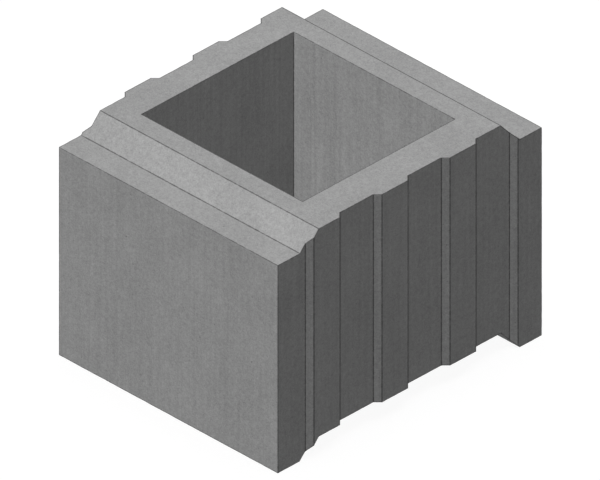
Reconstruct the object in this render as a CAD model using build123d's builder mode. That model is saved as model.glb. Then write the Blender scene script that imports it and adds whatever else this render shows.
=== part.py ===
# Ventilation block: one cast concrete unit with a square-cornered vertical duct. Stacked units
# make an air shaft: the raised tongue on top enters the groove under the unit above, and the
# upright ribs on one side enter the grooves in the side of the unit beside it.
#
# Sizes are in millimetres. X runs across the face width, Y from front to back, Z up.
# The origin is at the middle of the bounding box, on the floor that the unit stands on.
from build123d import *
from math import atan2, ceil, degrees, radians, tan
import os

# Body. Units are laid at the module sizes, and a unit is smaller by its joints, which are also
# the clearance of the tongue in its groove and of the ribs in theirs.
width_module = 250.0
course_module = 200.0
side_joint = 2.0
bed_joint = 2.0
body_depth = 294.0  # front face to back face

# Tongue on top, and the bed groove of the same section below
tongue_height = 18.5
shoulder_width = 25.0  # flat bed left in front of the tongue and behind it
slope_run = 16.5  # how far the tongue leans in, front and back

# Duct
duct_width = 182.0
duct_depth = 172.0

# Upright ribs on the right side, and the grooves for them on the left side
rib_pitch = 77.0
rib_stand_out = 5.0
rib_play = 4.0  # gap on each side of a rib in its groove
flank_angle = 45.0

# Side pattern
# A rib with its play takes half a pitch, so the lands left between the grooves are as wide as
# the ribs. Setting the ribs a quarter of a pitch off the middle makes the plan outline the
# same when the unit is turned round, and either end can face front.
flank_run = rib_stand_out / tan(radians(flank_angle))
rib_tip = rib_pitch / 2 - rib_play - flank_run
rib_base = rib_tip + 2 * flank_run
groove_mouth = rib_base + 2 * rib_play
pattern_shift = -rib_pitch / 4
pattern_count = 2 * ceil(body_depth / rib_pitch / 2) + 1  # odd, and past both ends

# Places across the unit: the ribs widen it on the right only
face_width = width_module - side_joint
overall_width = face_width + rib_stand_out
left_joint = -overall_width / 2
right_joint = left_joint + face_width
face_middle = (left_joint + right_joint) / 2

# Heights, and the tongue's section
course_height = course_module - bed_joint
overall_height = course_height + tongue_height
tongue_base = body_depth - 2 * shoulder_width
slope_angle = degrees(atan2(tongue_height, slope_run))


with BuildPart() as vent_block:
    # Plan outline with the patterned sides and the duct
    with BuildSketch(Plane.XY) as plan:
        with Locations((face_middle, 0)):
            Rectangle(face_width, body_depth)
        with Locations((right_joint, pattern_shift)):
            with GridLocations(1, rib_pitch, 1, pattern_count):
                Trapezoid(
                    rib_base, rib_stand_out, flank_angle, rotation=-90,
                    align=(Align.CENTER, Align.MIN),
                )
        with Locations((left_joint, pattern_shift)):
            with GridLocations(1, rib_pitch, 1, pattern_count):
                Trapezoid(
                    groove_mouth, rib_stand_out, flank_angle, rotation=-90,
                    align=(Align.CENTER, Align.MIN), mode=Mode.SUBTRACT,
                )
        # The front and back faces cut the pattern off where it falls
        Rectangle(overall_width, body_depth, mode=Mode.INTERSECT)
        with Locations((face_middle, 0)):
            Rectangle(duct_width, duct_depth, mode=Mode.SUBTRACT)
    extrude(amount=overall_height)

    # Side section, the same all the way across: shoulders and tongue above, bed groove below
    with BuildSketch(Plane.YZ) as section:
        Rectangle(body_depth, course_height, align=(Align.CENTER, Align.MIN))
        with Locations((0, course_height)):
            Trapezoid(
                tongue_base, tongue_height, slope_angle, align=(Align.CENTER, Align.MIN),
            )
        Trapezoid(
            tongue_base, tongue_height, slope_angle,
            align=(Align.CENTER, Align.MIN), mode=Mode.SUBTRACT,
        )
    extrude(amount=overall_width / 2, both=True, mode=Mode.INTERSECT)

vent_block.part.label = "vent_block"

os.makedirs("parts", exist_ok=True)
export_step(vent_block.part, "parts/vent_block.step")
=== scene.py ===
import math

import bmesh
import bpy
import numpy
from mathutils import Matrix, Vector, noise
from mathutils.bvhtree import BVHTree


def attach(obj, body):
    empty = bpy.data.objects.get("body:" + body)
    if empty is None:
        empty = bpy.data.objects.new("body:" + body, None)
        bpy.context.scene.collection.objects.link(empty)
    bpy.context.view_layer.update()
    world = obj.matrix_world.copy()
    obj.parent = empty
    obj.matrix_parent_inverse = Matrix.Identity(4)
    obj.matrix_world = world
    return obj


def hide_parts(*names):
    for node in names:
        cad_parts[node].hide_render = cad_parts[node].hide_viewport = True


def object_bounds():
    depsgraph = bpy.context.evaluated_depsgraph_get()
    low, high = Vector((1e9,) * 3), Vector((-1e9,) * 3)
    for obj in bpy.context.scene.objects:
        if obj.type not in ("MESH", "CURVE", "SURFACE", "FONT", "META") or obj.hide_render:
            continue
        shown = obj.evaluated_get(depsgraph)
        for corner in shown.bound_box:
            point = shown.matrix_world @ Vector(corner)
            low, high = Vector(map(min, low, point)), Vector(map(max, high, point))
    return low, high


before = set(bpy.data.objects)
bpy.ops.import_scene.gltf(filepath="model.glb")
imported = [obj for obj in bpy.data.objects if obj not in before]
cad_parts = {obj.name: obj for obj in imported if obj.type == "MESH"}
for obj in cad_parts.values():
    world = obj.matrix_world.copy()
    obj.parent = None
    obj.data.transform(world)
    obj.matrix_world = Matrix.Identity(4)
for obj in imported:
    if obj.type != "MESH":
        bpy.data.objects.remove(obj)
cadLow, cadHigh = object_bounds()
scene = bpy.context.scene
scene.view_settings.view_transform = "Standard"
print("frame: block of %.1f x %.1f x %.1f mm" % tuple(1000 * (cadHigh - cadLow)))


# Camera: a parallel view from the front right, as in the photo

photoView = {
    "azimuth": 45.0,  # degrees round from the front face towards the ribbed side
    "elevation": 32.77,  # degrees above the floor
    "frameWidth": 600,  # pixels
    "frameHeight": 480,
    "pixelSize": 0.0008003,  # metres of the block across one pixel
    "backFootPixel": (542.05, 335.4),  # where the photo shows the foot of the back right corner
    "distance": 1.5,  # metres; a parallel view is the same from any distance
    "farLimit": 20.0,  # metres; the floor is drawn up to here
}


def placeCamera(view):
    azimuth = math.radians(view["azimuth"])
    elevation = math.radians(view["elevation"])
    right = Vector((math.cos(azimuth), math.sin(azimuth), 0))
    back = Vector((
        math.sin(azimuth) * math.cos(elevation),
        -math.cos(azimuth) * math.cos(elevation),
        math.sin(elevation),
    ))
    up = back.cross(right)
    pixel = view["pixelSize"]
    offRight = (view["backFootPixel"][0] - view["frameWidth"] / 2) * pixel
    offDown = (view["backFootPixel"][1] - view["frameHeight"] / 2) * pixel
    backFoot = Vector((cadHigh.x, cadHigh.y, cadLow.z))
    middle = backFoot - offRight * right + offDown * up
    cameraData = bpy.data.cameras.new("photoCamera")
    cameraData.type = "ORTHO"
    cameraData.ortho_scale = view["frameWidth"] * pixel
    cameraData.clip_end = view["farLimit"]
    camera = bpy.data.objects.new("photoCamera", cameraData)
    scene.collection.objects.link(camera)
    camera.location = middle + back * view["distance"]
    camera.rotation_mode = "QUATERNION"
    camera.rotation_quaternion = back.to_track_quat("Z", "Y")
    scene.camera = camera


placeCamera(photoView)
print("camera: placed")


# Nodes: short ways to add them, for the world, the floor and the concrete

def feed(tree, socket, value):
    # the value is a plain one or the output of another node
    if isinstance(value, bpy.types.NodeSocket):
        tree.links.new(value, socket)
    else:
        socket.default_value = value


def addNode(tree, kind, spot, inputs=None, **settings):
    node = tree.nodes.new(kind)
    node.location = spot
    for key, value in settings.items():
        setattr(node, key, value)
    for socket, value in (inputs or {}).items():
        feed(tree, node.inputs[socket], value)
    return node


def mathNode(tree, operation, spot, *values):
    inputs = dict(enumerate(values))
    return addNode(tree, "ShaderNodeMath", spot, inputs, operation=operation).outputs[0]


def blend(tree, spot, share, first, second):
    # the share is how much of the second value there is in the mix
    inputs = {"Factor": share, "A": first, "B": second}
    return addNode(tree, "ShaderNodeMix", spot, inputs).outputs[0]


def splitBySight(tree, lighting, sight, outputKind):
    # one shader for the light that falls on the block, another where the camera or a reflection looks
    path = addNode(tree, "ShaderNodeLightPath", (-600, 300))
    looked = path.outputs["Is Camera Ray"]
    for step, ray in enumerate(("Is Glossy Ray", "Is Transmission Ray")):
        looked = mathNode(tree, "MAXIMUM", (-400 + 200 * step, 300), looked, path.outputs[ray])
    inputs = {0: looked, 1: lighting.outputs[0], 2: sight.outputs[0]}
    mix = addNode(tree, "ShaderNodeMixShader", (200, 0), inputs)
    addNode(tree, outputKind, (400, 0), {"Surface": mix.outputs[0]})


# Light: flat, as in the photo. The lamps that shade the faces cast no shadow, and a soft one
# overhead lays the block's shadow on the floor

studioLight = {
    "lamps": {
        # name: (direction towards the lamp, strength, spread in degrees, casts a shadow)
        "keyLamp": ((-0.369, -0.575, 0.73), 2.94, 8, False),
        "sideLamp": ((1.0, 0.0, 0.0), 0.525, 20, False),
        "backLamp": ((0.0, 1.0, 0.0), 1.7, 1, False),
        "topLamp": ((0.0, 0.0, 1.0), 0.6, 50, True),
        "lowLamp": ((0.0, 0.0, -1.0), 0.64, 1, False),  # for the faces over the bed groove
    },
    "lampDistance": 2.0,  # metres; a sun lamp lights the same from any distance
    "worldColour": (1, 1, 1, 1),
    "worldStrength": 0.05,  # of the light that it throws on the block
    "backdropStrength": 1.0,  # where the camera looks; 1 is white
}


def addLamps(light):
    for name, (direction, strength, spread, shadow) in light["lamps"].items():
        lampData = bpy.data.lights.new(name, "SUN")
        lampData.energy = strength
        lampData.angle = math.radians(spread)
        lampData.use_shadow = shadow
        lamp = bpy.data.objects.new(name, lampData)
        scene.collection.objects.link(lamp)
        lamp.rotation_mode = "QUATERNION"
        lamp.rotation_quaternion = Vector(direction).to_track_quat("Z", "Y")
        lamp.location = Vector(direction).normalized() * light["lampDistance"]


def makeWorld(light):
    world = bpy.data.worlds.new("studioWorld")
    world.use_nodes = True
    scene.world = world
    tree = world.node_tree
    tree.nodes.clear()
    soft = {"Color": light["worldColour"], "Strength": light["worldStrength"]}
    white = {"Color": light["worldColour"], "Strength": light["backdropStrength"]}
    lighting = addNode(tree, "ShaderNodeBackground", (-100, 100), soft)
    sight = addNode(tree, "ShaderNodeBackground", (-100, -100), white)
    splitBySight(tree, lighting, sight, "ShaderNodeOutputWorld")


addLamps(studioLight)
makeWorld(studioLight)
print("light: %d lamps and a pale world" % len(studioLight["lamps"]))


# Floor: white to the camera but for the block's soft shadow, and dim in the light it throws back

floorLook = {
    "halfSize": 6.0,  # metres
    "seenColour": (0.8, 0.8, 0.8, 1),
    "seenGlow": 0.28,  # added where the camera looks, so that the lit floor reaches white
    "bounceColour": (0.08, 0.08, 0.08, 1),
}


def makeFloor(look):
    half = look["halfSize"]
    mesh = bpy.data.meshes.new("studioFloor")
    corners = [(x * half, y * half, cadLow.z) for x, y in ((-1, -1), (1, -1), (1, 1), (-1, 1))]
    mesh.from_pydata(corners, [], [range(len(corners))])
    floor = bpy.data.objects.new("studioFloor", mesh)
    scene.collection.objects.link(floor)
    material = bpy.data.materials.new("paleFloor")
    material.use_nodes = True
    tree = material.node_tree
    tree.nodes.clear()
    seen = addNode(tree, "ShaderNodeBsdfDiffuse", (-400, -100), {"Color": look["seenColour"]})
    glow = addNode(tree, "ShaderNodeEmission", (-400, -250), {"Strength": look["seenGlow"]})
    both = {0: seen.outputs[0], 1: glow.outputs[0]}
    sight = addNode(tree, "ShaderNodeAddShader", (-200, -100), both)
    lighting = addNode(tree, "ShaderNodeBsdfDiffuse", (-200, 100), {"Color": look["bounceColour"]})
    splitBySight(tree, lighting, sight, "ShaderNodeOutputMaterial")
    mesh.materials.append(material)


makeFloor(floorLook)
print("floor: laid")


# Patterns: shader node groups that the concrete finishes share

patternLook = {
    "sandGrain": {
        "scale": 900.0,  # fine grains to the metre
        "coarseScale": 0.3,  # the coarse grain's scale as a share of the fine one's
        "coarseShare": 0.4,  # how much of the grain is coarse
        "sandShare": 0.3,  # how much of the height comes from single sand grains
        "detail": 2.0,
        "fineRoughness": 0.6,
        "coarseRoughness": 0.7,
    },
    "cloudiness": {
        "scale": 22.0,  # patches to the metre
        "detail": 4.0,
        "roughness": 0.55,
        "distortion": 0.4,
    },
    "pinholes": {
        "rarity": 3.0,  # the higher it is, the fewer holes come near to the full size
    },
    "mouldDrag": {
        "stretch": (320.0, 320.0, 9.0),  # marks to the metre along X, Y and Z
        "detail": 3.0,
    },
    "arrisWear": {
        "raggedScale": 260.0,  # notches to the metre
        "detail": 3.0,
        "wearStart": 0.15,  # the rub at which an arris begins to darken
        "wearFull": 0.75,  # and at which it is as dark as it gets
    },
}


def newGroup(name, values, outputs):
    # every group takes a place on the block as its vector, besides the values
    group = bpy.data.node_groups.new(name, "ShaderNodeTree")
    group.interface.new_socket(name="Vector", in_out="INPUT", socket_type="NodeSocketVector")
    for label, value in values.items():
        socket = group.interface.new_socket(name=label, in_out="INPUT", socket_type="NodeSocketFloat")
        socket.default_value = value
    for label in outputs:
        group.interface.new_socket(name=label, in_out="OUTPUT", socket_type="NodeSocketFloat")
    groupIn = addNode(group, "NodeGroupInput", (-800, 0))
    groupOut = addNode(group, "NodeGroupOutput", (600, 0))
    return group, groupIn.outputs, groupOut.inputs


def toneRange(tree, spot, pattern, strength):
    # turns a 0 to 1 pattern into a factor about 1, half of the strength away at either end
    shifted = mathNode(tree, "SUBTRACT", spot, pattern, 0.5)
    return mathNode(tree, "MULTIPLY_ADD", (spot[0] + 180, spot[1]), shifted, strength, 1.0)


def makeSandGrain(look):
    # fine cement grain over a coarser one, and the single sand grains that show through them
    group, given, wanted = newGroup(
        "sandGrain", {"Scale": look["scale"], "Strength": 0.5, "Sand": 0.15}, ("Tone", "Height")
    )
    place = {"Vector": given["Vector"], "Scale": given["Scale"]}
    fine = addNode(group, "ShaderNodeTexNoise", (-500, 200), {
        **place,
        "Detail": look["detail"],
        "Roughness": look["fineRoughness"],
    }).outputs["Fac"]
    coarse = addNode(group, "ShaderNodeTexNoise", (-500, -50), {
        "Vector": given["Vector"],
        "Scale": mathNode(group, "MULTIPLY", (-680, -50), given["Scale"], look["coarseScale"]),
        "Detail": look["detail"],
        "Roughness": look["coarseRoughness"],
    }).outputs["Fac"]
    grain = blend(group, (-320, 100), look["coarseShare"], fine, coarse)
    cells = addNode(group, "ShaderNodeTexVoronoi", (-500, -300), place)
    pick = addNode(group, "ShaderNodeSeparateColor", (-320, -300), {"Color": cells.outputs["Color"]})
    sand = pick.outputs["Red"]
    grainTone = toneRange(group, (-130, 200), grain, given["Strength"])
    sandTone = toneRange(group, (-130, -200), sand, given["Sand"])
    feed(group, wanted["Tone"], mathNode(group, "MULTIPLY", (250, 100), grainTone, sandTone))
    feed(group, wanted["Height"], blend(group, (250, -150), look["sandShare"], grain, sand))
    return group


def makeCloudiness(look):
    # broad patches where the mix cured a little lighter or darker
    group, given, wanted = newGroup(
        "cloudiness", {"Scale": look["scale"], "Strength": 0.1}, ("Tone",)
    )
    cloud = addNode(group, "ShaderNodeTexNoise", (-500, 0), {
        "Vector": given["Vector"],
        "Scale": given["Scale"],
        "Detail": look["detail"],
        "Roughness": look["roughness"],
        "Distortion": look["distortion"],
    }).outputs["Fac"]
    feed(group, wanted["Tone"], toneRange(group, (-200, 0), cloud, given["Strength"]))
    return group


def makePinholes(look):
    # small air holes, sparse and uneven in size
    group, given, wanted = newGroup("pinholes", {"Scale": 120.0, "Size": 0.1}, ("Mask", "Height"))
    place = {"Vector": given["Vector"], "Scale": given["Scale"]}
    cells = addNode(group, "ShaderNodeTexVoronoi", (-550, 0), place)
    pick = addNode(group, "ShaderNodeSeparateColor", (-380, -160), {"Color": cells.outputs["Color"]})
    chance = mathNode(group, "POWER", (-200, -160), pick.outputs["Red"], look["rarity"])
    hole = addNode(group, "ShaderNodeMapRange", (180, 0), {
        "Value": cells.outputs["Distance"],
        "From Max": mathNode(group, "MULTIPLY", (-30, -160), chance, given["Size"]),
        "To Min": 1.0,
        "To Max": 0.0,
    }, interpolation_type="SMOOTHSTEP")
    mask = hole.outputs["Result"]
    feed(group, wanted["Mask"], mask)
    feed(group, wanted["Height"], mathNode(group, "SUBTRACT", (380, -120), 1.0, mask))
    return group


def makeMouldDrag(look):
    # fine upright marks left as the mould is drawn off
    group, given, wanted = newGroup("mouldDrag", {"Strength": 0.05}, ("Tone", "Height"))
    both = {0: given["Vector"], 1: look["stretch"]}
    place = addNode(group, "ShaderNodeVectorMath", (-600, 0), both, operation="MULTIPLY")
    marks = addNode(group, "ShaderNodeTexNoise", (-400, 0), {
        "Vector": place.outputs["Vector"],
        "Scale": 1.0,
        "Detail": look["detail"],
    }).outputs["Fac"]
    feed(group, wanted["Tone"], toneRange(group, (-200, 100), marks, given["Strength"]))
    feed(group, wanted["Height"], marks)
    return group


def makeArrisWear(look):
    # where the arrises are rubbed, ragged along its border
    group, given, wanted = newGroup("arrisWear", {"Nearness": 0.0, "Ragged": 0.3}, ("Mask",))
    notches = addNode(group, "ShaderNodeTexNoise", (-550, 100), {
        "Vector": given["Vector"],
        "Scale": look["raggedScale"],
        "Detail": look["detail"],
    }).outputs["Fac"]
    shift = toneRange(group, (-360, 100), notches, given["Ragged"])
    border = addNode(group, "ShaderNodeMapRange", (200, 0), {
        "Value": mathNode(group, "MULTIPLY", (0, 0), shift, given["Nearness"]),
        "From Min": look["wearStart"],
        "From Max": look["wearFull"],
    }, interpolation_type="SMOOTHSTEP")
    feed(group, wanted["Mask"], border.outputs["Result"])
    return group


sharedGroups = {
    "grain": makeSandGrain(patternLook["sandGrain"]),
    "cloud": makeCloudiness(patternLook["cloudiness"]),
    "holes": makePinholes(patternLook["pinholes"]),
    "drag": makeMouldDrag(patternLook["mouldDrag"]),
    "wear": makeArrisWear(patternLook["arrisWear"]),
}
print("shaders: %d shared groups" % len(sharedGroups))


# Concrete finishes

mouldedLook = {
    "colour": (0.36, 0.36, 0.36),
    "grain": 0.8,  # how far the fine and coarse grain vary the colour
    "sand": 0.16,
    "cloud": 0.25,
    "drag": 0.25,
    "dragRelief": 2.0,  # height of the mould marks for each unit of "drag"
    "airHoles": [(120.0, 0.15, 0.5), (400.0, 0.28, 0.45)],  # how many to the metre, size, and how dark the painted shade in them is
    "arrisTone": 0.40,  # how much of the colour is left where an arris is rubbed
    "arrisRagged": 1.4,  # how uneven the border of the rubbed strip is
    "roughness": (0.78, 0.92),
    "specular": 0.05,
    "bump": 0.45,
    "bumpDistance": 0.0004,  # metres
}
concreteFinish = {
    # top of the tongue, shoulders, slopes and the underside
    "pressedConcrete": dict(
        mouldedLook,
        grain=0.9,
        drag=0.0,
        airHoles=[(120.0, 0.13, 0.5), (400.0, 0.24, 0.45)],
        arrisTone=0.34,
        roughness=(0.82, 0.95),
    ),
    # front, back, ribbed side and grooved side
    "mouldedConcrete": mouldedLook,
    # walls of the duct
    "ductConcrete": dict(mouldedLook, drag=0.35),
}


def makeConcrete(name, finish):
    material = bpy.data.materials.new(name)
    material.use_nodes = True
    tree = material.node_tree
    tree.nodes.clear()
    place = addNode(tree, "ShaderNodeTexCoord", (-1200, 0)).outputs["Object"]

    def placeGroup(key, spot, **values):
        inputs = {"Vector": place, **values}
        return addNode(tree, "ShaderNodeGroup", spot, inputs, node_tree=sharedGroups[key]).outputs

    def product(spot, first, second):
        return mathNode(tree, "MULTIPLY", spot, first, second)

    def darkened(spot, mask, amount):
        return mathNode(tree, "MULTIPLY_ADD", spot, mask, -amount, 1.0)

    nearness = addNode(tree, "ShaderNodeAttribute", (-1200, -500), attribute_name="arrisNearness")
    grain = placeGroup("grain", (-950, 300), Strength=finish["grain"], Sand=finish["sand"])
    cloud = placeGroup("cloud", (-950, 100), Strength=finish["cloud"])
    drag = placeGroup("drag", (-950, -100), Strength=finish["drag"])
    wear = placeGroup(
        "wear", (-950, -500), Ragged=finish["arrisRagged"], Nearness=nearness.outputs["Fac"]
    )

    # colour: the cement's own grey, varied by the patterns, with painted shade in the air holes and
    # darker on the arrises
    tone = product((-700, 250), grain["Tone"], cloud["Tone"])
    tone = product((-540, 250), tone, drag["Tone"])
    rubbed = darkened((-700, -500), wear["Mask"], 1 - finish["arrisTone"])
    tone = product((-380, 250), tone, rubbed)
    relief = grain["Height"]
    # each kind of air hole is a real dip in the relief, with painted shade darkening the colour in it
    for number, (perMetre, size, holeShade) in enumerate(finish["airHoles"]):
        row = -900 - 250 * number
        holes = placeGroup("holes", (-950, row), Scale=perMetre, Size=size)
        tone = product((-380, row), tone, darkened((-700, row), holes["Mask"], holeShade))
        relief = product((-540, row), relief, holes["Height"])
    shade = {0: finish["colour"], "Scale": tone}
    colour = addNode(tree, "ShaderNodeVectorMath", (-60, 200), shade, operation="SCALE")

    roughness = addNode(tree, "ShaderNodeMapRange", (-200, 0), {
        "Value": grain["Height"],
        "To Min": finish["roughness"][0],
        "To Max": finish["roughness"][1],
    })
    dragHeight = finish["drag"] * finish["dragRelief"]
    height = mathNode(tree, "MULTIPLY_ADD", (-380, -200), drag["Height"], dragHeight, relief)
    bump = addNode(tree, "ShaderNodeBump", (-200, -250), {
        "Strength": finish["bump"],
        "Distance": finish["bumpDistance"],
        "Height": height,
    })
    surface = addNode(tree, "ShaderNodeBsdfPrincipled", (120, 100), {
        "Base Color": colour.outputs["Vector"],
        "Roughness": roughness.outputs["Result"],
        "Specular IOR Level": finish["specular"],
        "Normal": bump.outputs["Normal"],
    })
    addNode(tree, "ShaderNodeOutputMaterial", (420, 100), {"Surface": surface.outputs["BSDF"]})
    return material


finishes = {name: makeConcrete(name, finish) for name, finish in concreteFinish.items()}
finishOrder = list(finishes)
print("shaders: %d concrete finishes" % len(finishes))


# The cast block: the solid's own shape with eased arrises and the slight relief of a casting.
# Lengths are in metres

castBlock = {
    "node": "vent_block",
    "weldGap": 0.00001,  # points of the solid's mesh nearer than this are one point
    "flatAngle": 1.0,  # degrees; triangles that meet at less than this are one flat face
    "edgeAngle": 20.0,  # degrees; faces that meet at more than this have an arris
    "arrisWidth": 0.001,  # how far an arris reaches along each of its faces
    "arrisSegments": 4,
    "arrisProfile": 0.85,  # 0.5 is round and 1 leaves the edge square
    "gridStep": 0.004,  # spacing of the points that carry the relief
    "cutGap": 0.000001,  # a cut uses a point that is nearer to it than this
    "mergeGap": 0.00003,  # points nearer than this after the cuts become one
    "reliefDepth": 0.00006,  # how deep the shallow hollows of the faces are
    "reliefLength": 0.03,  # and how far apart
    "nibbleDepth": 0.0002,  # how far an arris crumbles
    "nibbleLength": 0.006,  # from one crumbled spot to the next
    "nibbleShift": (7.3, 1.9, 4.1),  # keeps the crumbling apart from the relief
    "surfaceGap": 0.0000001,  # a point further out than this is outside the solid
    "pressedSlope": 0.5,  # a face whose normal is more upright than this is a pressed one
    "ductReach": (0.1, 0.09),  # upright faces this near the middle along X and Y are duct walls
    "shownSide": (1, -1, 1),  # the way the faces that the photo shows are turned
    "shownTurn": 0.01,  # a face has to be turned that way by more than this
    "outlineRub": 2.4,  # how rubbed an arris is where only one of its faces is turned that way
    "innerRub": 0.88,  # the same for the other arrises
}


def planarMesh(source, block):
    bm = bmesh.new()
    bm.from_mesh(source)
    bmesh.ops.remove_doubles(bm, verts=bm.verts, dist=block["weldGap"])
    limit = math.radians(block["flatAngle"])
    bmesh.ops.dissolve_limit(bm, angle_limit=limit, verts=bm.verts, edges=bm.edges)
    return bm


def findArrises(bm, block):
    limit = math.radians(block["edgeAngle"])
    return [e for e in bm.edges if len(e.link_faces) == 2 and e.calc_face_angle() > limit]


def howRubbed(edge, block):
    # an outline shows only one side of its arris, so it is rubbed further to look as dark
    side = Vector(block["shownSide"])
    first, second = [face.normal.dot(side) > block["shownTurn"] for face in edge.link_faces]
    return block["outlineRub"] if first != second else block["innerRub"]


def easeArrises(bm, arrises, block):
    bmesh.ops.bevel(
        bm, geom=arrises, offset=block["arrisWidth"], offset_type="OFFSET",
        segments=block["arrisSegments"], profile=block["arrisProfile"], affect="EDGES",
        clamp_overlap=True,
    )


def chooseFaces(bm, block):
    reachX, reachY = block["ductReach"]
    for face in bm.faces:
        middle = face.calc_center_median()
        if abs(face.normal.z) > block["pressedSlope"]:
            finish = "pressedConcrete"
        elif abs(middle.x) < reachX and abs(middle.y) < reachY:
            finish = "ductConcrete"
        else:
            finish = "mouldedConcrete"
        face.material_index = finishOrder.index(finish)


def cutGrid(bm, block):
    # even cuts along each axis, so that the flat faces have points to carry relief
    step = block["gridStep"]
    for axis in range(3):
        normal = Vector([float(i == axis) for i in range(3)])
        length = cadHigh[axis] - cadLow[axis]
        count = int(length / step)
        inset = (length - (count - 1) * step) / 2
        for i in range(count):
            bmesh.ops.bisect_plane(
                bm, geom=bm.verts[:] + bm.edges[:] + bm.faces[:], dist=block["cutGap"],
                plane_co=cadLow + normal * (inset + i * step), plane_no=normal,
            )


def arrisNearness(bm, arrisLines, width):
    # for every point: how rubbed its arris is on the solid's edge, falling to 0 at the arris width
    points = numpy.array([v.co[:] for v in bm.verts])
    nearness = numpy.zeros(len(points))
    for start, end, rub in arrisLines:
        along = end - start
        share = numpy.clip((points - start) @ along / (along @ along), 0, 1)
        gap = numpy.linalg.norm(points - start - numpy.outer(share, along), axis=1)
        nearness = numpy.maximum(nearness, rub * (1 - gap / width))
    return nearness


def weather(bm, nearness, block):
    # every point moves inwards, furthest where an arris has crumbled
    bm.normal_update()
    shift = Vector(block["nibbleShift"])
    moves = []
    for v, near in zip(bm.verts, nearness):
        broad = noise.noise(v.co / block["reliefLength"])
        depth = block["reliefDepth"] * max(0.0, 0.5 + 0.5 * broad)
        if near > 0:
            crumble = noise.noise(v.co / block["nibbleLength"] + shift)
            depth += block["nibbleDepth"] * min(near, 1) * max(0.0, crumble)
        moves.append(v.normal * -depth)
    for v, move in zip(bm.verts, moves):
        v.co += move


def keepInside(bm, solid, block):
    # a point that the easing left outside the solid goes back onto its surface
    faces = [polygon.vertices[:] for polygon in solid.polygons]
    tree = BVHTree.FromPolygons([v.co for v in solid.vertices], faces)
    moved = 0
    for v in bm.verts:
        foot, normal = tree.find_nearest(v.co)[:2]
        if (v.co - foot).dot(normal) > block["surfaceGap"]:
            v.co = foot
            moved += 1
    return moved


def makeBlock(block):
    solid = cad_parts[block["node"]].data
    bm = planarMesh(solid, block)
    arrises = findArrises(bm, block)
    arrisLines = []
    for edge in arrises:
        start, end = [numpy.array(v.co[:]) for v in edge.verts]
        arrisLines.append((start, end, howRubbed(edge, block)))
    print("block: %d flat faces, %d arrises" % (len(bm.faces), len(arrises)))
    easeArrises(bm, arrises, block)
    chooseFaces(bm, block)
    cutGrid(bm, block)
    bmesh.ops.remove_doubles(bm, verts=bm.verts, dist=block["mergeGap"])
    nearness = arrisNearness(bm, arrisLines, block["arrisWidth"])
    weather(bm, nearness, block)
    print("block: %d points put back onto the solid" % keepInside(bm, solid, block))
    for face in bm.faces:
        face.smooth = True
    mesh = bpy.data.meshes.new("castBlock")
    bm.to_mesh(mesh)
    bm.free()
    mesh.attributes.new("arrisNearness", "FLOAT", "POINT").data.foreach_set("value", nearness)
    for name in finishOrder:
        mesh.materials.append(finishes[name])
    piece = bpy.data.objects.new("castBlock", mesh)
    scene.collection.objects.link(piece)
    piece.visible_diffuse = False  # its faces throw no light on one another, as in the photo
    piece.modifiers.new("faceNormals", "WEIGHTED_NORMAL")  # keeps the flat faces flat
    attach(piece, "root")
    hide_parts(block["node"])
    return piece


blockPiece = makeBlock(castBlock)
print("block: %d faces, %d points" % (len(blockPiece.data.polygons), len(blockPiece.data.vertices)))
